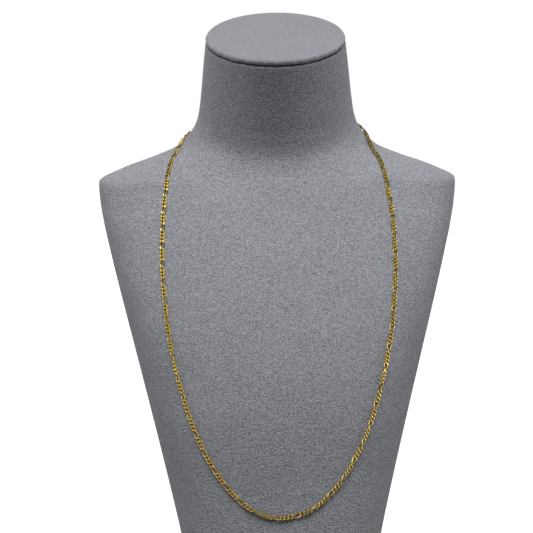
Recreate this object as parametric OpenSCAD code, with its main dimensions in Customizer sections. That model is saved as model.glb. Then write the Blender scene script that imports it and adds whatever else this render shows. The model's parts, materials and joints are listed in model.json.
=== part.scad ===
/* [Bust] */
// Width across the shoulders
shoulder_w = 186; // [160:1:220]
// Height of the neck's top face at its middle, above the base
neck_top_h = 274; // [240:1:320]
// Depth of the flat base, front to back
base_d = 139; // [120:1:160]
// Diameter of the neck at its top
neck_d = 72; // [62:1:82]
// Forward lean of the neck's top, in degrees
neck_lean = 20.5; // [0:0.5:22]
// How tightly the neck runs into the shoulders
neck_blend = 8; // [5:1:12]

/* [Neck cap] */
// Diameter of the cap
cap_d = 72; // [60:1:84]
// Height of the cap above the groove
cap_h = 2.8; // [2:0.1:8]
// Radius of the cap's rounded upper edge
cap_edge_r = 1.6; // [0.8:0.1:1.8]
// Height of the groove under the cap
groove_h = 0.8; // [0.6:0.1:2]
// How far the groove is cut in
groove_depth = 2; // [1:0.5:5]
// Gap between the cap's foot and the neck
seat_gap = 0.3; // [0.1:0.1:0.5]

/* [Chain] */
// Diameter of the wire
wire_d = 0.55; // [0.45:0.05:0.6]
// Radius of a link's round ends, to the middle of its wire
link_end_r = 0.93; // [0.9:0.01:1]
// Length that a short link adds to the chain
short_pitch = 1.9; // [1.8:0.1:2.4]
// Length that a long link adds to the chain
long_pitch = 4.3; // [3.6:0.1:6]
// Short links between two long ones
short_count = 3; // [1:1:5]
// Turn of each link about the chain, one way and then the other, in degrees
link_roll = 36; // [34:1:44]
// Free play at each joint of the chain
link_play = 0.22; // [0.2:0.01:0.3]
// Clear height of the chain above the bust
chain_lift = 0.3; // [0.25:0.05:0.6]

/* [Clasp] */
// Length of the clasp and its two rings in the chain
clasp_run = 14.5; // [13:0.5:18]
// Radius of both rings, to the middle of their wire
ring_r = 1.55; // [1.5:0.05:1.7]
// Diameter of the rings' wire
ring_wire_d = 0.55; // [0.5:0.05:0.6]
// Radius of the clasp's claw, to the middle of its bar
claw_r = 1.9; // [1.7:0.1:2.4]
// Thickness of the claw's bar
claw_d = 1; // [0.8:0.1:1.1]
// Radius of the clasp's eye, to the middle of its wire
eye_r = 0.95; // [0.9:0.05:1.1]
// Diameter of the eye's wire
eye_wire_d = 0.7; // [0.5:0.05:0.75]
// Diameter of the clasp's body between claw and eye
clasp_body_d = 1.9; // [1.4:0.1:2.2]

/* [Hidden] */

suede_grey = [0.56, 0.57, 0.60];
gold = [0.83, 0.62, 0.2];

// Cross-sections of the bust, from its base up, each a torso outline that runs into a round neck.
// level: height as a share of neck_top_h. setback: how far its middle lies behind the base's, of base_d.
// lean: of neck_lean. neck: radius, of neck_d / 2. half_width: of shoulder_w / 2.
// front and back: reach from its middle, of base_d. squareness: 2 is an oval, more is squarer.
sections = [
    // level, setback, lean, neck, half_width, front, back, squareness
    [0.000, 0.000, 0.00, 0.80, 0.503, 0.500, 0.500, 3.2],
    [0.070, 0.014, 0.00, 0.80, 0.540, 0.501, 0.487, 3.2],
    [0.209, 0.036, 0.00, 0.83, 0.633, 0.496, 0.470, 3.1],
    [0.299, 0.048, 0.00, 0.84, 0.697, 0.487, 0.458, 3.1],
    [0.389, 0.061, 0.00, 0.86, 0.764, 0.462, 0.446, 3.0],
    [0.458, 0.075, 0.00, 0.87, 0.816, 0.429, 0.435, 3.0],
    [0.528, 0.094, 0.00, 0.88, 0.870, 0.388, 0.418, 2.9],
    [0.598, 0.133, 0.00, 0.90, 0.924, 0.352, 0.382, 2.8],
    [0.668, 0.176, 0.02, 0.915, 0.973, 0.310, 0.341, 2.7],
    [0.697, 0.194, 0.04, 0.92, 0.989, 0.290, 0.323, 2.6],
    [0.739, 0.216, 0.09, 0.935, 1.000, 0.254, 0.294, 2.6],
    [0.760, 0.230, 0.18, 0.95, 0.885, 0.242, 0.271, 2.6],
    [0.781, 0.237, 0.27, 0.965, 0.705, 0.225, 0.254, 2.5],
    [0.799, 0.242, 0.36, 0.98, 0.574, 0.212, 0.240, 2.3],
    [0.813, 0.243, 0.46, 1.00, 0.521, 0.198, 0.229, 2.1],
    [0.831, 0.242, 0.58, 1.02, 0.465, 0.185, 0.215, 2.0],
    [0.856, 0.236, 0.70, 1.04, 0.410, 0.165, 0.194, 2.0],
    [0.891, 0.218, 0.81, 1.045, 0.369, 0.139, 0.166, 2.0],
    [0.944, 0.184, 0.92, 1.033, 0.322, 0.104, 0.124, 2.0],
    [1.000, 0.140, 1.00, 1.00, 0.270, 0.069, 0.083, 2.0],
];
columns = len(sections[0]) - 1;
top = len(sections) - 1;

// The chain's route over the bust: from the middle of the nape, down over the left shoulder,
// round the low middle of the chest and back up over the right shoulder.
// level: of neck_top_h. bearing: degrees round the section's middle, 0 in front, more to the right.
route = [
    [0.822, -180], [0.823, -155], [0.824, -131], [0.823, -111], [0.818, -95.5], [0.807, -85],
    [0.794, -76], [0.781, -69], [0.767, -64.6], [0.750, -62], [0.729, -60.5], [0.702, -58.9],
    [0.663, -56.8], [0.618, -54.9], [0.558, -52.3], [0.498, -49.1], [0.438, -45.1], [0.384, -41.3],
    [0.331, -37], [0.288, -33], [0.246, -28.2], [0.210, -22.8], [0.180, -16.7], [0.159, -9.8],
    [0.149, -2.2], [0.152, 5.6], [0.165, 12.9], [0.190, 19.5], [0.223, 25.6], [0.259, 30.5],
    [0.299, 35], [0.344, 39], [0.399, 43.2], [0.458, 47.2], [0.518, 50.9], [0.588, 54.1],
    [0.648, 56.3], [0.697, 58.5], [0.732, 60.3], [0.754, 61.8], [0.770, 64.3], [0.785, 69],
    [0.800, 75.5], [0.813, 81.5], [0.823, 90], [0.829, 103], [0.829, 122], [0.826, 149],
    [0.822, 180],
];
front_row = 24;
last_row = len(route) - 1;

// Fineness of the bust's surface and of the route
ring_points = 60;
rings_a_span = 3;
route_steps = 12;
// Half the stretch over which the route's bends are eased
ease = 1.6;
// Small steps of level and bearing that measure the slope of the surface
level_step = 0.0001;
bearing_step = 0.02;

// Cubic between rows a and b with slopes sa and sb, over a span h, at share t
function cubic(a, b, sa, sb, h, t) =
    (2*t^3 - 3*t^2 + 1)*a + (t^3 - 2*t^2 + t)*h*sa + (3*t^2 - 2*t^3)*b + (t^3 - t^2)*h*sb;

// Slope of one column at a section that never overshoots its neighbours
function rise(i, c) = (sections[i + 1][c] - sections[i][c]) / span(i);
function span(i) = sections[i + 1][0] - sections[i][0];
function mid_slope(a, b, ha, hb) = a*b <= 0 ? 0 : 3*(ha + hb) / ((2*hb + ha)/a + (hb + 2*ha)/b);
section_slopes = [for (i = [0:top]) [for (c = [0:columns])
    i == 0 ? rise(0, c) : i == top ? rise(top - 1, c) :
    mid_slope(rise(i - 1, c), rise(i, c), span(i - 1), span(i))]];

// The section at any level
function below(level) = min(top - 1, max([for (i = [0:top]) if (sections[i][0] <= level) i]));
function section(level) = let (i = below(level))
    cubic(sections[i], sections[i + 1], section_slopes[i], section_slopes[i + 1], span(i),
        (level - sections[i][0]) / span(i));

// A point of the bust's surface, on section s at a bearing
function on_section(s, bearing) = let (
    across = sin(bearing), ahead = cos(bearing), reach = (ahead > 0 ? s[5] : s[6])*base_d,
    torso = (abs(across/(s[4]*shoulder_w/2))^s[7] + abs(ahead/reach)^s[7])^(-1/s[7]),
    r = (torso^neck_blend + (s[3]*neck_d/2)^neck_blend)^(1/neck_blend),
    lean = s[2]*neck_lean)
    [r*across, s[1]*base_d - r*ahead*cos(lean), s[0]*neck_top_h - r*ahead*sin(lean)];
function skin_at(level, bearing) = on_section(section(level), bearing);
function unit(v) = v / norm(v);
function facing(level, bearing) = unit(cross(
    skin_at(level, bearing + bearing_step) - skin_at(level, bearing - bearing_step),
    skin_at(level + level_step, bearing) - skin_at(level - level_step, bearing)));

// Bearings that spread a ring's points evenly round a wide flat section
function ring(s) = [for (j = [0:ring_points - 1]) let (
    a = 360*j/ring_points, neck = s[3]*neck_d/2,
    wide = max(s[4]*shoulder_w/2, neck), deep = max((cos(a) > 0 ? s[5] : s[6])*base_d, neck))
    on_section(s, atan2(wide*sin(a), deep*cos(a)))];

// The route as points on the surface, with the way that the surface faces there
route_base = [for (row = route) skin_at(row[0], row[1])];
function chord(i) = norm(route_base[i + 1] - route_base[i]);
function route_rate(i) = (route[i + 1] - route[i]) / chord(i);
function route_slope(i) = i == 0 || i == last_row
    ? (route_rate(last_row - 1)*chord(0) + route_rate(0)*chord(last_row - 1)) / (chord(0) + chord(last_row - 1))
    : (route_rate(i - 1)*chord(i) + route_rate(i)*chord(i - 1)) / (chord(i) + chord(i - 1));
route_rows = [for (i = [0:last_row - 1], j = [0:route_steps - 1])
    cubic(route[i], route[i + 1], route_slope(i), route_slope(i + 1), chord(i), j/route_steps),
    route[last_row]];
skin = [for (row = route_rows) skin_at(row[0], row[1])];
faces_out = [for (row = route_rows) facing(row[0], row[1])];

// Length along a list of points, up to each of them
function run(points) = [for (i = 0, s = 0; i < len(points);
    s = s + (i < len(points) - 1 ? norm(points[i + 1] - points[i]) : 0), i = i + 1) s];

// The chain lies close to the bust and rises to its clasp, whose rings stand on edge
link_rise = link_end_r*sin(link_roll) + wire_d/2;
ring_rise = ring_r + ring_wire_d/2;
ramp = 11;
skin_run = run(skin);
skin_length = skin_run[len(skin) - 1];
function near_clasp(s) = let (
    t = max(0, min(1, 1 - (min(s, skin_length - s) - clasp_run/2)/ramp))) t*t*(3 - 2*t);
path = [for (i = [0:len(skin) - 1])
    skin[i] + faces_out[i]*(chain_lift + link_rise + (ring_rise - link_rise)*near_clasp(skin_run[i]))];
path_run = run(path);
path_length = path_run[len(path) - 1];

// Lookup tables by length along the path, for points and for the way out of the surface
function tables(points) = [for (c = [0:2]) [for (i = [0:len(points) - 1]) [path_run[i], points[i][c]]]];
path_tables = tables(path);
out_tables = tables(faces_out);
function wrapped(s) = s - path_length*floor(s/path_length);
function at(tables, s) = [for (t = tables) lookup(wrapped(s), t)];
function eased(tables, s) = (at(tables, s - ease) + 2*at(tables, s) + at(tables, s + ease)) / 4;

// Puts a piece on the path with its joints s - length/2 and s + length/2 along it, turned by roll
module on_path(s, length, roll = 0) {
    a = eased(path_tables, s - length/2);
    b = eased(path_tables, s + length/2);
    along = unit(b - a);
    lean_out = eased(out_tables, s - length/2) + eased(out_tables, s) + eased(out_tables, s + length/2);
    outward = unit(lean_out - along*(lean_out*along));
    side = cross(outward, along);
    m = (a + b) / 2;
    multmatrix([
        [along.x, side.x, outward.x, m.x],
        [along.y, side.y, outward.y, m.y],
        [along.z, side.z, outward.z, m.z],
        [0, 0, 0, 1]])
        rotate([roll, 0, 0]) children();
}

// The figaro count: long link, short links, long link, numbered outwards from the long one in front
group_length = long_pitch + short_count*short_pitch;
function place_in_group(k) = abs(k) % (short_count + 1);
function pitch(k) = place_in_group(k) == 0 ? long_pitch : short_pitch;
function middle(k) = sign(k)*(floor(abs(k)/(short_count + 1))*group_length
    + (place_in_group(k) == 0 ? 0 : (long_pitch + short_pitch)/2 + (place_in_group(k) - 1)*short_pitch));
function far_end(k) = abs(middle(k)) + pitch(k)/2;
function links_in(length, k = 0) = far_end(k + 1) <= length ? links_in(length, k + 1) : k;

front_s = path_run[front_row*route_steps];
left_length = front_s - clasp_run/2;
right_length = path_length - front_s - clasp_run/2;
left_count = links_in(left_length);
right_count = links_in(right_length);
// Each side is drawn out by less than a hundredth, so that it just reaches the clasp
left_stretch = left_length / far_end(left_count);
right_stretch = right_length / far_end(right_count);

ring_pitch = 2*ring_r - ring_wire_d - link_play;
clasp_pitch = clasp_run - 2*ring_pitch;
clasp_half = (clasp_pitch + link_play) / 2;

// A round bar bent round a circle
module bar_ring(r, d, angle = 360) {
    rotate_extrude(angle = angle, $fn = 48) translate([r, 0]) circle(d = d, $fn = 24);
}

// One link along X: two round ends and two straight sides
module link(length) {
    straight = length + link_play + wire_d - 2*link_end_r;
    for (end = [0, 180]) rotate(end) {
        translate([straight/2, 0, 0]) rotate(-90) bar_ring(link_end_r, wire_d, 180);
        translate([-straight/2, link_end_r, 0]) rotate([0, 90, 0])
            cylinder(h = straight, d = wire_d, $fn = 24);
    }
}

module links(first, last, stretch) {
    for (k = [first:last])
        on_path(front_s + middle(k)*stretch, pitch(k)*stretch, k % 2 == 0 ? link_roll : -link_roll)
            link(pitch(k));
}

module bust_body() {
    levels = [for (i = [0:top - 1], j = [0:rings_a_span - 1])
        sections[i][0] + span(i)*j/rings_a_span, sections[top][0]];
    points = [for (level = levels) each ring(section(level))];
    n = ring_points;
    last = len(levels) - 1;
    sides = [for (i = [0:last - 1], j = [0:n - 1]) let (k = (j + 1) % n, a = i*n, b = (i + 1)*n)
        each [[a + j, b + k, a + k], [a + j, b + j, b + k]]];
    color(suede_grey) polyhedron(points, concat(
        [[for (j = [0:n - 1]) j]], sides, [[for (j = [n - 1:-1:0]) last*n + j]]));
}

module neck_cap() {
    foot = groove_h - seat_gap;
    color(suede_grey)
        translate([0, sections[top][1]*base_d, neck_top_h]) rotate([neck_lean, 0, 0])
        rotate_extrude($fn = 96) translate([0, seat_gap]) {
            square([cap_d/2 - groove_depth, foot + cap_h/2]);
            translate([0, foot]) square([cap_d/2, cap_h - cap_edge_r]);
            translate([0, foot]) square([cap_d/2 - cap_edge_r, cap_h]);
            translate([cap_d/2 - cap_edge_r, foot + cap_h - cap_edge_r]) intersection() {
                circle(r = cap_edge_r, $fn = 48);
                square(cap_edge_r);
            }
        }
}

module chain_left() {
    color(gold) links(-left_count, 0, left_stretch);
}

module chain_right() {
    color(gold) links(1, right_count, right_stretch);
}

// The closed clasp lies flat on the nape, with its eye towards the left side of the chain.
// Its body ends at the edges of the claw's and the eye's holes, so that both stay open.
module clasp() {
    claw_x = clasp_half + claw_d/2 - claw_r;
    eye_x = clasp_half + eye_wire_d/2 - eye_r;
    body_start = claw_r - claw_x - claw_d/2 + clasp_body_d/2;
    body_end = eye_x - eye_r + eye_wire_d/2 - clasp_body_d/2;
    color(gold) on_path(0, clasp_pitch) {
        translate([-claw_x, 0, 0]) bar_ring(claw_r, claw_d);
        translate([eye_x, 0, 0]) bar_ring(eye_r, eye_wire_d);
        translate([body_start, 0, 0]) rotate([0, 90, 0])
            cylinder(h = body_end - body_start, d = clasp_body_d, $fn = 32);
        for (x = [body_start, body_end])
            translate([x, 0, 0]) sphere(d = clasp_body_d, $fn = 32);
    }
}

module clasp_ring() {
    color(gold) on_path((clasp_run - ring_pitch)/2, ring_pitch, 90) bar_ring(ring_r, ring_wire_d);
}

module end_ring() {
    color(gold) on_path(-(clasp_run - ring_pitch)/2, ring_pitch, 90) bar_ring(ring_r, ring_wire_d);
}

bust_body();
neck_cap();
chain_left();
chain_right();
clasp();
clasp_ring();
end_ring();
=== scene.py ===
import json
import math
import random

import bpy
import numpy as np
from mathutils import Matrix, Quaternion, Vector
from mathutils.bvhtree import BVHTree

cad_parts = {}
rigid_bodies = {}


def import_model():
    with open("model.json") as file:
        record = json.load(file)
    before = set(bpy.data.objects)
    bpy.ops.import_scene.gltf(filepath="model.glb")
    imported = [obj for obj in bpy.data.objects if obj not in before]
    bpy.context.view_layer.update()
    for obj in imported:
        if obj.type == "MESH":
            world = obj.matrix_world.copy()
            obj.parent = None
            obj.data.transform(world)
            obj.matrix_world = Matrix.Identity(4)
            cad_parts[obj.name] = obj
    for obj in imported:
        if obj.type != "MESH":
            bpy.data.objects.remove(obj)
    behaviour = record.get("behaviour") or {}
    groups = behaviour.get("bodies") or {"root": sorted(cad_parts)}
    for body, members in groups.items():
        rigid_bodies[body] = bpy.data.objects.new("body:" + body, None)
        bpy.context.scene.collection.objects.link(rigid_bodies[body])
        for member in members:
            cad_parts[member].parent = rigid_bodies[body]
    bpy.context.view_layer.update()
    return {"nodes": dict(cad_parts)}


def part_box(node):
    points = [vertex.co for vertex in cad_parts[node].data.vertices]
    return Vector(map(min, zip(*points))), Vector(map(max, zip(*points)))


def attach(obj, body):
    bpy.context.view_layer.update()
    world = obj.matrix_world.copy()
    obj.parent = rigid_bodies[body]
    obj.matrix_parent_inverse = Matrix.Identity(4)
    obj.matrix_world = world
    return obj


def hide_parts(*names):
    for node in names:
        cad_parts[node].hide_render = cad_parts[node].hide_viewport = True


# Lengths are in millimetres, and mm turns them into Blender's metres. Angles are in degrees.
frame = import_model()
mm = 0.001
print("frame loaded with", len(frame["nodes"]), "nodes")


def addObject(name, data):
    made = bpy.data.objects.new(name, data)
    bpy.context.collection.objects.link(made)
    return made


# Evenly spaced angles all the way round, in radians
def roundAngles(count):
    return np.radians(np.linspace(0, 360, count + 1)[:-1])


# Angles of a quarter turn with both its ends, in radians
def quarterTurn(steps):
    return np.radians(np.linspace(0, 90, steps + 1))


# Camera: the photo looks a little down on the chest, from far away
photoView = {
    "target": (0, 20.1, 157.6),
    "aside": -6,
    "lookDown": 5,
    "distance": 1350,
    "lens": 175,
    "tilt": -0.67,
}


def placeCamera(look):
    angle = math.radians(look["lookDown"])
    back = Vector((0, -math.cos(angle), math.sin(angle)))
    target = Vector(look["target"]) + Vector((look["aside"], 0, 0))
    data = bpy.data.cameras.new("photoCamera")
    data.lens = look["lens"]
    camera = addObject("photoCamera", data)
    camera.location = (target + back * look["distance"]) * mm
    camera.rotation_mode = "QUATERNION"
    tilt = Quaternion((0, 0, 1), math.radians(look["tilt"]))
    camera.rotation_quaternion = (-back).to_track_quat("-Z", "Y") @ tilt
    bpy.context.scene.camera = camera


placeCamera(photoView)


class Signal:
    # A node's output, which takes part in sums like a number
    def __init__(self, recipe, socket):
        self.recipe = recipe
        self.socket = socket

    def combine(self, operation, *values):
        return self.recipe.node("ShaderNodeMath", {"operation": operation}, dict(enumerate(values)))

    def __add__(self, other):
        return self.combine("ADD", self, other)

    def __radd__(self, other):
        return self.combine("ADD", other, self)

    def __sub__(self, other):
        return self.combine("SUBTRACT", self, other)

    def __rsub__(self, other):
        return self.combine("SUBTRACT", other, self)

    def __mul__(self, other):
        return self.combine("MULTIPLY", self, other)

    def __rmul__(self, other):
        return self.combine("MULTIPLY", other, self)


class Recipe:
    # The nodes of one material or world
    def __init__(self, owner):
        owner.use_nodes = True
        self.tree = owner.node_tree
        self.tree.nodes.clear()

    def node(self, kind, settings=None, sockets=None, output=0):
        made = self.tree.nodes.new(kind)
        for key, value in (settings or {}).items():
            setattr(made, key, value)
        for key, value in (sockets or {}).items():
            if isinstance(value, Signal):
                self.tree.links.new(value.socket, made.inputs[key])
            else:
                made.inputs[key].default_value = value
        return Signal(self, made.outputs[output]) if made.outputs else None

    def place(self):
        return self.node("ShaderNodeTexCoord", output="Object")

    def noise(self, place, size, detail=2):
        sockets = {"Vector": place, "Scale": 1 / (size * mm), "Detail": detail}
        return self.node("ShaderNodeTexNoise", {}, sockets)

    # The node that mixes colours has them at sockets 6 and 7, and its result at 2
    def mix(self, share, first, second):
        return self.node("ShaderNodeMix", {"data_type": "RGBA"}, {0: share, 6: first, 7: second}, 2)

    def bump(self, height, depth, strength):
        sockets = {"Height": height, "Distance": depth * mm, "Strength": strength}
        return self.node("ShaderNodeBump", {}, sockets)

    def ramp(self, value, look):
        sockets = dict(enumerate((value, *look["from"], *look["to"])))
        return self.node("ShaderNodeMapRange", {"interpolation_type": "SMOOTHSTEP"}, sockets)

    def surface(self, shader):
        self.node("ShaderNodeOutputMaterial", {}, {"Surface": shader})


def solidColour(red, green, blue):
    return (red, green, blue, 1)


# Suede: short grey nap, speckled finer than a millimetre and clouded where it was brushed
suedeLook = {
    "dark": solidColour(0.10, 0.104, 0.113),
    "light": solidColour(0.50, 0.515, 0.555),
    "cool": solidColour(0.34, 0.39, 0.49),
    "warm": solidColour(0.47, 0.42, 0.40),
    "tintShare": 0.2,
    "tintContrast": 3,
    "tint": 0.9,
    "speckle": 0.72,
    "tuft": 1.9,
    "cloud": 26,
    "speckleShare": 1.6,
    "tuftShare": 0.30,
    "toneShare": 1.1,
    "cloudShare": 0.20,
    "napDepth": 0.28,
    "napStrength": 1.0,
    "roughness": 0.92,
    "napRoughness": 0.1,
    "specular": 0.2,
    "sheen": 0.22,
    "sheenRoughness": 0.45,
}


def suedeFinish(name, look):
    material = bpy.data.materials.new(name)
    recipe = Recipe(material)
    place = recipe.place()
    speckle = recipe.noise(place, look["speckle"], detail=1) - 0.5
    tuft = recipe.noise(place, look["tuft"]) - 0.5
    cloud = recipe.noise(place, look["cloud"], detail=3) - 0.5
    tint = 0.5 + (recipe.noise(place, look["tint"], detail=1) - 0.5) * look["tintContrast"]
    nap = speckle * look["speckleShare"] + tuft * look["tuftShare"]
    tone = 0.5 + nap * look["toneShare"] + cloud * look["cloudShare"]
    grey = recipe.mix(tone, look["dark"], look["light"])
    colour = recipe.mix(look["tintShare"], grey, recipe.mix(tint, look["cool"], look["warm"]))
    shader = recipe.node("ShaderNodeBsdfPrincipled", {}, {
        "Base Color": colour,
        "Roughness": look["roughness"] - nap * look["napRoughness"],
        "Specular IOR Level": look["specular"],
        "Sheen Weight": look["sheen"],
        "Sheen Roughness": look["sheenRoughness"],
        "Normal": recipe.bump(nap, look["napDepth"], look["napStrength"]),
    })
    recipe.surface(shader)
    return material


# Gold: polished, with faint file marks and a warmer tone in patches, and painted shade: the wire darkened
# to near-black brown inside each link and underneath
goldLook = {
    # Near-black brown of the painted shade inside and under the links
    "paintedShade": solidColour(0.09, 0.045, 0.01),
    "pale": solidColour(0.92, 0.71, 0.20),
    "deep": solidColour(0.66, 0.41, 0.04),
    "patch": 1.6,
    "mark": 0.12,
    "roughness": 0.10,
    "roughnessSpread": 0.08,
    "markDepth": 0.006,
    "markStrength": 0.35,
}


def goldFinish(name, look):
    material = bpy.data.materials.new(name)
    recipe = Recipe(material)
    place = recipe.place()
    patch = recipe.noise(place, look["patch"])
    mark = recipe.noise(place, look["mark"], detail=1)
    # Per-point share of painted shade on the chain's wires: darkest inside each link and underneath
    paintedShade = recipe.node("ShaderNodeAttribute", {"attribute_name": "paintedShade"}, output="Fac")
    polished = recipe.mix(patch, look["deep"], look["pale"])
    shader = recipe.node("ShaderNodeBsdfPrincipled", {}, {
        "Base Color": recipe.mix(paintedShade, polished, look["paintedShade"]),
        "Metallic": 1,
        "Roughness": look["roughness"] + mark * look["roughnessSpread"],
        "Normal": recipe.bump(mark, look["markDepth"], look["markStrength"]),
    })
    recipe.surface(shader)
    return material


# The suede of the cap is more even than the bust's
bustSuede = suedeFinish("bustSuede", suedeLook)
capSuede = suedeFinish("capSuede", suedeLook | {"toneShare": 0.5})
chainGold = goldFinish("chainGold", goldLook)
claspGold = goldFinish("claspGold", goldLook)
print("finishes ready")


# A closed skin over rings of points: capped at two middle points, or joined up end to start
def skinOver(rings, ends):
    rows, sides = rings.shape[:2]
    points = rings.reshape(-1, 3)
    row, spot = np.meshgrid(np.arange(rows - (ends is not None)), np.arange(sides), indexing="ij")
    nextRow, nextSpot = (row + 1) % rows, (spot + 1) % sides
    corners = [(row, spot), (row, nextSpot), (nextRow, nextSpot), (nextRow, spot)]
    faces = np.stack([a * sides + b for a, b in corners], axis=-1).reshape(-1, 4).tolist()
    if ends is not None:
        points = np.vstack([points, ends])
        first, last = rows * sides, rows * sides + 1
        topRow = (rows - 1) * sides
        for here in range(sides):
            beside = (here + 1) % sides
            faces.append([first, beside, here])
            faces.append([last, topRow + here, topRow + beside])
    return points, faces


def addPiece(name, points, faces, material, node):
    mesh = bpy.data.meshes.new(name)
    mesh.from_pydata((points * mm).tolist(), [], faces)
    mesh.polygons.foreach_set("use_smooth", [True] * len(mesh.polygons))
    mesh.materials.append(material)
    piece = addObject(name, mesh)
    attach(piece, "root")
    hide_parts(node)
    return piece


# Low and high corners of a solid of the frame
def nodeBox(node):
    low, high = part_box(node)
    return np.array(low) / mm, np.array(high) / mm


# Bust: the same cross-sections as the solid's, with many more rings and rounded rims
bustLook = {
    "neckWidth": 72,
    "neckLean": 20.5,
    "neckBlend": 8,
    # level: of the neck's height. setback, front, back: of the base's depth. lean: of neckLean.
    # neck: of half neckWidth. halfWidth: of half the shoulders. squareness: 2 is an oval.
    "columns": ("level", "setback", "lean", "neck", "halfWidth", "front", "back", "squareness"),
    "sections": [
        [0.000, 0.000, 0.00, 0.80, 0.503, 0.500, 0.500, 3.2],
        [0.070, 0.014, 0.00, 0.80, 0.540, 0.501, 0.487, 3.2],
        [0.209, 0.036, 0.00, 0.83, 0.633, 0.496, 0.470, 3.1],
        [0.299, 0.048, 0.00, 0.84, 0.697, 0.487, 0.458, 3.1],
        [0.389, 0.061, 0.00, 0.86, 0.764, 0.462, 0.446, 3.0],
        [0.458, 0.075, 0.00, 0.87, 0.816, 0.429, 0.435, 3.0],
        [0.528, 0.094, 0.00, 0.88, 0.870, 0.388, 0.418, 2.9],
        [0.598, 0.133, 0.00, 0.90, 0.924, 0.352, 0.382, 2.8],
        [0.668, 0.176, 0.02, 0.915, 0.973, 0.310, 0.341, 2.7],
        [0.697, 0.194, 0.04, 0.92, 0.989, 0.290, 0.323, 2.6],
        [0.739, 0.216, 0.09, 0.935, 1.000, 0.254, 0.294, 2.6],
        [0.760, 0.230, 0.18, 0.95, 0.885, 0.242, 0.271, 2.6],
        [0.781, 0.237, 0.27, 0.965, 0.705, 0.225, 0.254, 2.5],
        [0.799, 0.242, 0.36, 0.98, 0.574, 0.212, 0.240, 2.3],
        [0.813, 0.243, 0.46, 1.00, 0.521, 0.198, 0.229, 2.1],
        [0.831, 0.242, 0.58, 1.02, 0.465, 0.185, 0.215, 2.0],
        [0.856, 0.236, 0.70, 1.04, 0.410, 0.165, 0.194, 2.0],
        [0.891, 0.218, 0.81, 1.045, 0.369, 0.139, 0.166, 2.0],
        [0.944, 0.184, 0.92, 1.033, 0.322, 0.104, 0.124, 2.0],
        [1.000, 0.140, 1.00, 1.00, 0.270, 0.069, 0.083, 2.0],
    ],
    "ringPoints": 240,
    "ringCount": 210,
    "footRim": 1.5,
    "topRim": 0.9,
    "rimSteps": 6,
    # Rings on the flat foot and the flat top, as shares of their radius
    "flatShares": (0.25, 0.5, 0.75),
    # How finely a ring and the height are measured
    "ringSteps": 1440,
    "heightPoints": 1200,
}
bustLow, bustHigh = nodeBox("bust_body")
neckLean = math.radians(bustLook["neckLean"])
shoulderHalf = (bustHigh[0] - bustLow[0]) / 2
# The base reaches further forward than any other section
baseDepth = -2 * bustLow[1]
neckHalf = bustLook["neckWidth"] / 2
neckTop = bustHigh[2] - neckHalf * math.sin(neckLean)
sections = np.array(bustLook["sections"])
spans = np.diff(sections[:, 0])
rates = np.diff(sections, axis=0) / spans[:, None]


# Slopes at the sections, such that no curve between two of them overshoots
def sectionSlopes():
    slopes = np.vstack([rates[:1], np.zeros_like(rates[1:]), rates[-1:]])
    for i in range(1, len(rates)):
        before, after = rates[i - 1], rates[i]
        same = before * after > 0
        left, right = spans[i - 1], spans[i]
        pull = (2 * right + left) / before[same] + (right + 2 * left) / after[same]
        slopes[i, same] = 3 * (left + right) / pull
    return slopes


slopes = sectionSlopes()


# One row of the table at any level, on a cubic curve between the sections beside it
def sectionAt(level):
    i = int(np.clip(np.searchsorted(sections[:, 0], level, side="right") - 1, 0, len(spans) - 1))
    h = spans[i]
    t = (level - sections[i, 0]) / h
    ends = (2*t**3 - 3*t**2 + 1) * sections[i] + (3*t**2 - 2*t**3) * sections[i + 1]
    return ends + (t**3 - 2*t**2 + t) * h * slopes[i] + (t**3 - t**2) * h * slopes[i + 1]


# Points of the outline at some bearings, drawn in by inset and shrunk to a share of its radius
def outline(level, bearings, inset=0, share=1):
    row = dict(zip(bustLook["columns"], sectionAt(level)))
    across, ahead = np.sin(bearings), np.cos(bearings)
    reach = np.where(ahead > 0, row["front"], row["back"]) * baseDepth
    power, blend = row["squareness"], bustLook["neckBlend"]
    torso = np.abs(across / (row["halfWidth"] * shoulderHalf)) ** power + np.abs(ahead / reach) ** power
    torso = torso ** (-1 / power)
    radius = (torso ** blend + (row["neck"] * neckHalf) ** blend) ** (1 / blend)
    radius = (radius - inset) * share
    lean = row["lean"] * neckLean
    return np.column_stack([
        radius * across,
        row["setback"] * baseDepth - radius * ahead * math.cos(lean),
        level * neckTop - radius * ahead * math.sin(lean),
    ])


# The same number of points on every ring, evenly spaced along it
def evenRing(level, inset=0, share=1):
    dense = np.radians(np.linspace(0, 360, bustLook["ringSteps"] + 1))
    points = outline(level, dense)
    travelled = np.concatenate([[0], np.cumsum(np.linalg.norm(np.diff(points, axis=0), axis=1))])
    wanted = np.linspace(0, travelled[-1], bustLook["ringPoints"] + 1)[:-1]
    return outline(level, np.interp(wanted, travelled, dense), inset, share)


# Levels spread so that the rings lie evenly over the chest, the shoulders and the neck:
# each step is as long as the longest of the front's, the side's and the back's
def evenLevels(first, last):
    dense = np.linspace(first, last, bustLook["heightPoints"])
    sides = np.radians([0, 90, 180])
    points = np.array([outline(level, sides) for level in dense])
    steps = np.linalg.norm(np.diff(points, axis=0), axis=2).max(axis=1)
    travelled = np.concatenate([[0], np.cumsum(steps)])
    return np.interp(np.linspace(0, travelled[-1], bustLook["ringCount"]), travelled, dense)


# Middle of the flat foot, row 0 of the table, or of the flat top, row -1
def flatMiddle(row):
    level, setback = sections[row, :2]
    return [0, setback * baseDepth, level * neckTop]


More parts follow.
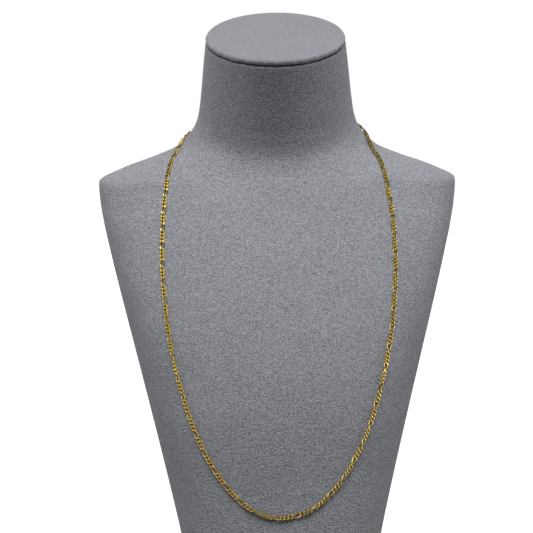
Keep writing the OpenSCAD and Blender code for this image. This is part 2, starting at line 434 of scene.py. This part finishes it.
def buildBust():
    foot, rim, flat = bustLook["footRim"], bustLook["topRim"], bustLook["flatShares"]
    turn = quarterTurn(bustLook["rimSteps"])
    rings = [evenRing(0, foot, share) for share in flat]
    rings += [evenRing(foot * (1 - math.cos(a)) / neckTop, foot * (1 - math.sin(a))) for a in turn]
    rings += [evenRing(level) for level in evenLevels(foot / neckTop, 1 - rim / neckTop)[1:-1]]
    rings += [evenRing(1 - rim * (1 - math.sin(a)) / neckTop, rim * (1 - math.cos(a))) for a in turn]
    rings += [evenRing(1, rim, share) for share in flat[::-1]]
    points, faces = skinOver(np.array(rings), np.array([flatMiddle(0), flatMiddle(-1)]))
    return addPiece("bustBody", points, faces, bustSuede, "bust_body")


bustBody = buildBust()
print("bust body:", len(bustBody.data.polygons), "faces")

# Cap: a suede-covered disc, crowned a little, its skin turned under and puckered at the lower edge
capLook = {
    "seatGap": 0.3,
    "foot": 0.8,
    "top": 3.6,
    "stemInset": 2,
    "upperEdge": 1.6,
    "lowerEdge": 0.8,
    "crown": 0.35,
    "spokes": 480,
    "arcSteps": 10,
    "sideSteps": 4,
    "faceSteps": 13,
    "underShares": (0.3, 0.7, 1),
    # Waves round the cap: how many, and how deep
    "puckers": [(19, 0.07), (31, 0.09), (47, 0.12), (73, 0.11), (109, 0.06)],
    "sags": [(5, 0.08), (11, 0.08), (29, 0.06), (41, 0.05)],
    "puckerFade": 0.7,
    "seed": 4,
}


# Sum of waves round the cap, each with its own chance phase
def wavesRound(waves, angles, chance):
    return sum(depth * np.sin(count * angles + chance.uniform(0, 2 * math.pi)) for count, depth in waves)


# Half of the cap's cross-section, from under its middle round to the top: radius and height
def capProfile(look, radius):
    stem = radius - look["stemInset"]
    lower, upper = look["lowerEdge"], look["upperEdge"]
    turn = quarterTurn(look["arcSteps"])
    under = [(stem * s, look["seatGap"]) for s in look["underShares"]] + [(stem, look["foot"])]
    hem = [(radius - lower * (1 - math.sin(a)), look["foot"] + lower * (1 - math.cos(a))) for a in turn]
    sideHeights = np.linspace(look["foot"] + lower, look["top"] - upper, look["sideSteps"] + 1)[1:-1]
    side = [(radius, z) for z in sideHeights]
    edge = [(radius - upper * (1 - math.cos(a)), look["top"] - upper * (1 - math.sin(a))) for a in turn]
    inner = radius - upper
    faceShares = np.linspace(1, 0, look["faceSteps"] + 1)[1:-1]
    face = [(inner * s, look["top"] + look["crown"] * (1 - s * s)) for s in faceShares]
    return np.array(under + hem + side + edge + face)


def buildCap():
    look = capLook
    low, high = nodeBox("neck_cap")
    radius = (high[0] - low[0]) / 2
    profile = capProfile(look, radius)
    chance = random.Random(look["seed"])
    angles = roundAngles(look["spokes"])
    pucker = wavesRound(look["puckers"], angles, chance)
    sag = wavesRound(look["sags"], angles, chance)
    rings = []
    for r, z in profile:
        onSide = np.clip((r - radius + look["stemInset"]) / look["stemInset"], 0, 1)
        nearHem = np.clip(1 - (z - look["foot"]) / (look["top"] - look["foot"]), 0, 1)
        reach = r + pucker * onSide * nearHem ** look["puckerFade"]
        height = z + sag * onSide * nearHem
        rings.append(np.column_stack([reach * np.sin(angles), -reach * np.cos(angles), height]))
    ends = np.array([[0, 0, look["seatGap"]], [0, 0, look["top"] + look["crown"]]])
    points, faces = skinOver(np.array(rings), ends)
    tilt = np.array([
        [1, 0, 0],
        [0, math.cos(neckLean), -math.sin(neckLean)],
        [0, math.sin(neckLean), math.cos(neckLean)],
    ])
    return addPiece("neckCap", points @ tilt.T + flatMiddle(-1), faces, capSuede, "neck_cap")


neckCap = buildCap()
print("neck cap:", len(neckCap.data.polygons), "faces")

# Chain: each solid link's place is kept, and its wire is twisted and filed flat as a real figaro link is
chainLook = {
    "wire": 0.60,
    "endRadius": 0.86,
    "twist": 38,
    "hand": -1,
    "twistReach": 0.8,
    "filedAt": 0.60,
    "filedLeft": 0.12,
    "loopStep": 0.19,
    "wireSides": 12,
    # Painted shade on the wire: a share all round, more inside the link and more underneath
    "paintedShadeShare": 0.4,
    "paintedShadeInside": 0.55,
    "paintedShadeUnder": 0.45,
    "rest": 0.06,
    # Links counted from the clasp: the first ones keep their height, and the later ones sink in full
    "looseFrom": 3,
    "looseTo": 11,
    "rollWander": 1.5,
    # Long links that turned on edge, counted in groups from the long link in front
    "onEdge": (-10, -1, 2, 4, 6, 9),
    "edgeRoll": 42,
    # Share of that roll by links from the long one, so that it fades out along the chain
    "edgeShares": {-2: 0.15, -1: 0.5, 0: 1, 1: 0.85, 2: 0.7, 3: 0.55, 4: 0.4, 5: 0.25, 6: 0.1},
    "groupLinks": 4,
    "seed": 9,
}


# The points of each loose piece of a node, in millimetres
def loosePieces(node):
    mesh = frame["nodes"][node].data
    points = np.empty(len(mesh.vertices) * 3)
    mesh.vertices.foreach_get("co", points)
    spots, same = np.unique(np.round(points.reshape(-1, 3) / mm, 4), axis=0, return_inverse=True)
    edges = np.empty(len(mesh.edges) * 2, dtype=np.int64)
    mesh.edges.foreach_get("vertices", edges)
    ends = same.reshape(-1)[edges].reshape(-1, 2)
    # Each point takes the lowest number that it is joined to, until none changes
    group = np.arange(len(spots))
    while True:
        lowest = np.minimum(group[ends[:, 0]], group[ends[:, 1]])
        joined = group.copy()
        np.minimum.at(joined, ends[:, 0], lowest)
        np.minimum.at(joined, ends[:, 1], lowest)
        joined = joined[joined]
        if np.array_equal(joined, group):
            break
        group = joined
    return [spots[group == first] for first in np.unique(group)]


# Middle, direction and length of one solid link
def measureLink(points, node):
    middle = points.mean(axis=0)
    axes = np.linalg.eigh(np.cov((points - middle).T))[1][:, ::-1].T
    spread = (points - middle) @ axes.T
    low, high = spread.min(axis=0), spread.max(axis=0)
    return {
        "node": node,
        "middle": middle + (low + high) / 2 @ axes,
        "along": axes[0],
        "length": high[0] - low[0],
    }


# Links in their order round the loop, from the clasp's ring to the end ring
def orderedLinks():
    waiting = [measureLink(p, node) for node in ("chain_left", "chain_right") for p in loosePieces(node)]
    here = np.mean(nodeBox("clasp_ring"), axis=0)
    links = []
    while waiting:
        gaps = [np.linalg.norm(link["middle"] - here) for link in waiting]
        links.append(waiting.pop(int(np.argmin(gaps))))
        here = links[-1]["middle"]
    return links


def unit(vector):
    return vector / np.linalg.norm(vector)


# Directions along the loop and out of the bust at each link
def aimLinks(links, tree):
    for i, link in enumerate(links):
        before, after = links[max(i - 1, 0)], links[min(i + 1, len(links) - 1)]
        if np.dot(link["along"], after["middle"] - before["middle"]) < 0:
            link["along"] = -link["along"]
        nearest = tree.find_nearest(Vector(link["middle"] * mm))[0]
        link["out"] = unit(link["middle"] * mm - np.array(nearest))
    for link in links:
        link["out"] = unit(link["out"] - link["along"] * np.dot(link["out"], link["along"]))
        link["side"] = np.cross(link["out"], link["along"])


# Roll of each link about the chain, in degrees
def rollLinks(links):
    chance = random.Random(chainLook["seed"])
    front = max(i for i, link in enumerate(links) if link["node"] == "chain_left")
    for link in links:
        link["roll"] = chance.uniform(-1, 1) * chainLook["rollWander"]
    for group in chainLook["onEdge"]:
        longLink = front + group * chainLook["groupLinks"]
        for step, share in chainLook["edgeShares"].items():
            links[longLink + step]["roll"] += share * chainLook["edgeRoll"]


# Middle line of one link's wire round its loop: points, and the way that the link's own plane faces
def linkLine(length):
    look = chainLook
    radius = look["endRadius"]
    half = (length - look["wire"]) / 2 - radius
    total = 2 * math.pi * radius + 4 * half
    count = 4 * round(total / look["loopStep"] / 4)
    travelled = np.arange(count) * total / count
    turn, straight = math.pi * radius, 2 * half
    x, y = np.empty(count), np.empty(count)
    # Twice a half turn and the straight run after it
    for start, sign in ((0, 1), (turn + straight, -1)):
        s = travelled - start
        bend = (s >= 0) & (s < turn)
        run = (s >= turn) & (s < turn + straight)
        angle = s[bend] / radius - math.pi / 2
        x[bend], y[bend] = sign * (half + radius * np.cos(angle)), sign * radius * np.sin(angle)
        x[run], y[run] = sign * (half - (s[run] - turn)), sign * radius
    reach = half + look["twistReach"] * radius
    twist = look["hand"] * math.radians(look["twist"]) * np.sin(math.pi / 2 * np.clip(x / reach, -1, 1))
    line = np.column_stack([x, y * np.cos(twist), y * np.sin(twist)])
    facing = np.column_stack([0 * x, -np.sin(twist), np.cos(twist)])
    return line, facing


# Rings of points round the wire, with the link's top and bottom filed flat
def linkRings(length):
    look = chainLook
    line, facing = linkLine(length)
    ahead = np.roll(line, -1, axis=0) - np.roll(line, 1, axis=0)
    ahead /= np.linalg.norm(ahead, axis=1)[:, None]
    outward = np.cross(ahead, facing)
    outward /= np.linalg.norm(outward, axis=1)[:, None]
    upward = np.cross(outward, ahead)
    angles = roundAngles(look["wireSides"])[None, :, None]
    ring = np.cos(angles) * outward[:, None] + np.sin(angles) * upward[:, None]
    rings = line[:, None] + look["wire"] / 2 * ring
    height = rings[:, :, 2]
    over = np.abs(height) - look["filedAt"]
    filed = np.sign(height) * (look["filedAt"] + over * look["filedLeft"])
    rings[:, :, 2] = np.where(over > 0, filed, height)
    return rings


# Each link's rings in its own place, rolled about the chain
def placeLinks(links):
    for link in links:
        rings = linkRings(link["length"])
        roll = math.radians(link["roll"])
        side = math.cos(roll) * link["side"] + math.sin(roll) * link["out"]
        top = math.cos(roll) * link["out"] - math.sin(roll) * link["side"]
        link["rings"] = link["middle"] + rings @ np.array([link["along"], side, top])


# Height of a link's lowest point over the bust
def clearHeight(link, tree):
    lowest = math.inf
    for point in link["rings"].reshape(-1, 3) * mm:
        nearest, normal, _, gap = tree.find_nearest(Vector(point))
        above = (Vector(point) - nearest).dot(normal) >= 0
        lowest = min(lowest, gap if above else -gap)
    return lowest / mm


# Each link sinks towards the suede until it or a neighbour all but rests there
def settleLinks(links, tree):
    last = len(links) - 1
    room = np.array([clearHeight(link, tree) - chainLook["rest"] for link in links])
    shared = np.array([room[max(i - 1, 0):i + 2].min() for i in range(last + 1)])
    eased = [shared[max(i - 1, 0):i + 2].mean() for i in range(last + 1)]
    first, full = chainLook["looseFrom"], chainLook["looseTo"]
    for i, link in enumerate(links):
        share = np.clip((min(i, last - i) - first) / (full - first), 0, 1)
        link["rings"] = link["rings"] - link["out"] * eased[i] * share * share * (3 - 2 * share)


# Painted shade on the wire's sides, where shade falls: most towards the inside of its loop and underneath
def paintWireShade(piece):
    look = chainLook
    angles = roundAngles(look["wireSides"])
    paintedShadeAmount = look["paintedShadeShare"] - look["paintedShadeInside"] * np.cos(angles)
    paintedShadeAmount -= look["paintedShadeUnder"] * np.sin(angles)
    layer = piece.data.attributes.new("paintedShade", "FLOAT", "POINT")
    rings = len(piece.data.vertices) // look["wireSides"]
    layer.data.foreach_set("value", np.tile(np.clip(paintedShadeAmount, 0, 1), rings))


def joinLinks(name, links, node):
    points, faces, start = [], [], 0
    for link in (link for link in links if link["node"] == node):
        linkPoints, linkFaces = skinOver(link["rings"], None)
        points.append(linkPoints)
        faces += [[corner + start for corner in face] for face in linkFaces]
        start += len(linkPoints)
    piece = addPiece(name, np.vstack(points), faces, chainGold, node)
    # Painted shade on the inner and lower sides of the wire
    paintWireShade(piece)
    return piece


def buildChain():
    tree = BVHTree.FromObject(bustBody, bpy.context.evaluated_depsgraph_get())
    links = orderedLinks()
    aimLinks(links, tree)
    rollLinks(links)
    placeLinks(links)
    settleLinks(links, tree)
    return [joinLinks("chainLeft", links, "chain_left"), joinLinks("chainRight", links, "chain_right")]


chainLeft, chainRight = buildChain()
print("chain:", len(chainLeft.data.polygons) + len(chainRight.data.polygons), "faces")


# The clasp and its rings keep their solids and take the gold
def gildClasp():
    for name in ("clasp", "clasp_ring", "end_ring"):
        solid = frame["nodes"][name]
        solid.data.materials.clear()
        solid.data.materials.append(claspGold)


gildClasp()
print("clasp and rings gilded")

# Studio: a wide soft light high in front, weak fills at the sides, one behind, in a white room
studioLook = {
    "key": {"size": (2600, 1300), "place": (0, -1060, 2560), "watts": 82, "mirrored": False},
    "leftFill": {"size": (700, 500), "place": (-1300, 60, 120), "watts": 5, "mirrored": False},
    "rightFill": {"size": (700, 500), "place": (1300, 60, 120), "watts": 5.5, "mirrored": True},
    "backFill": {"size": (1600, 1000), "place": (0, 2200, 600), "watts": 24, "mirrored": False},
    "aim": (0, 0, 170),
    "roomLight": 0.016,
    # What the gold mirrors of the room: bright above and to the left, dark below
    "brightSide": (-0.48, -0.28, 0.83),
    "mirrorRamp": {"from": (0.1, 0.9), "to": (0.0, 0.33)},
    "mirrorSpot": {"from": (0.94, 0.985), "to": (0.0, 5.0)},
    "floorColour": solidColour(0.12, 0.12, 0.12),
    "floorGlow": 1.05,
    # What the gold mirrors of the floor: dark near the bust's middle, bright further out
    "floorMirrored": {"from": (100, 300), "to": (0.03, 1.3)},
    "floorSize": 9000,
}


def addLight(name, look, aim):
    data = bpy.data.lights.new(name, "AREA")
    data.shape = "RECTANGLE"
    data.size, data.size_y = (side * mm for side in look["size"])
    data.energy = look["watts"]
    lamp = addObject(name, data)
    lamp.visible_glossy = look["mirrored"]
    lamp.location = Vector(look["place"]) * mm
    lamp.rotation_mode = "QUATERNION"
    lamp.rotation_quaternion = (Vector(aim) - Vector(look["place"])).to_track_quat("-Z", "Y")


# White where the picture shows it, nearly dark as a light, and shaded as the gold mirrors it
def paintRoom(look):
    world = bpy.data.worlds.new("studio")
    bpy.context.scene.world = world
    recipe = Recipe(world)
    seen = recipe.node("ShaderNodeLightPath")
    mirrored = recipe.node("ShaderNodeLightPath", output="Is Glossy Ray")
    sockets = {0: recipe.node("ShaderNodeTexCoord", output="Generated"), 1: look["brightSide"]}
    facing = recipe.node("ShaderNodeVectorMath", {"operation": "DOT_PRODUCT"}, sockets, "Value")
    gloss = recipe.ramp(facing, look["mirrorRamp"]) + recipe.ramp(facing, look["mirrorSpot"])
    glow = look["roomLight"] + seen * (1 - look["roomLight"]) + mirrored * gloss
    light = recipe.node("ShaderNodeBackground", {}, {"Color": solidColour(1, 1, 1), "Strength": glow})
    recipe.node("ShaderNodeOutputWorld", {}, {"Surface": light})


def floorFinish(look):
    material = bpy.data.materials.new("paleFloor")
    recipe = Recipe(material)
    seen = recipe.node("ShaderNodeLightPath")
    mirrored = recipe.node("ShaderNodeLightPath", output="Is Glossy Ray")
    metres = recipe.node("ShaderNodeVectorMath", {"operation": "LENGTH"}, {0: recipe.place()}, "Value")
    strength = seen * look["floorGlow"] + mirrored * recipe.ramp(metres * (1 / mm), look["floorMirrored"])
    glow = recipe.node("ShaderNodeVectorMath", {"operation": "SCALE"}, {0: (1, 1, 1), "Scale": strength})
    shader = recipe.node("ShaderNodeBsdfPrincipled", {}, {
        "Base Color": look["floorColour"],
        "Roughness": 1,
        "Specular IOR Level": 0,
        "Emission Color": glow,
        "Emission Strength": 1,
    })
    recipe.surface(shader)
    return material


def layFloor(look):
    half = look["floorSize"] / 2 * mm
    corners = [(-half, -half, 0), (half, -half, 0), (half, half, 0), (-half, half, 0)]
    mesh = bpy.data.meshes.new("floor")
    mesh.from_pydata(corners, [], [[0, 1, 2, 3]])
    mesh.materials.append(floorFinish(look))
    floor = addObject("floor", mesh)


for name in ("key", "leftFill", "rightFill", "backFill"):
    addLight(name, studioLook[name], studioLook["aim"])
paintRoom(studioLook)
layFloor(studioLook)
bpy.context.scene.view_settings.view_transform = "Standard"
print("studio lit")
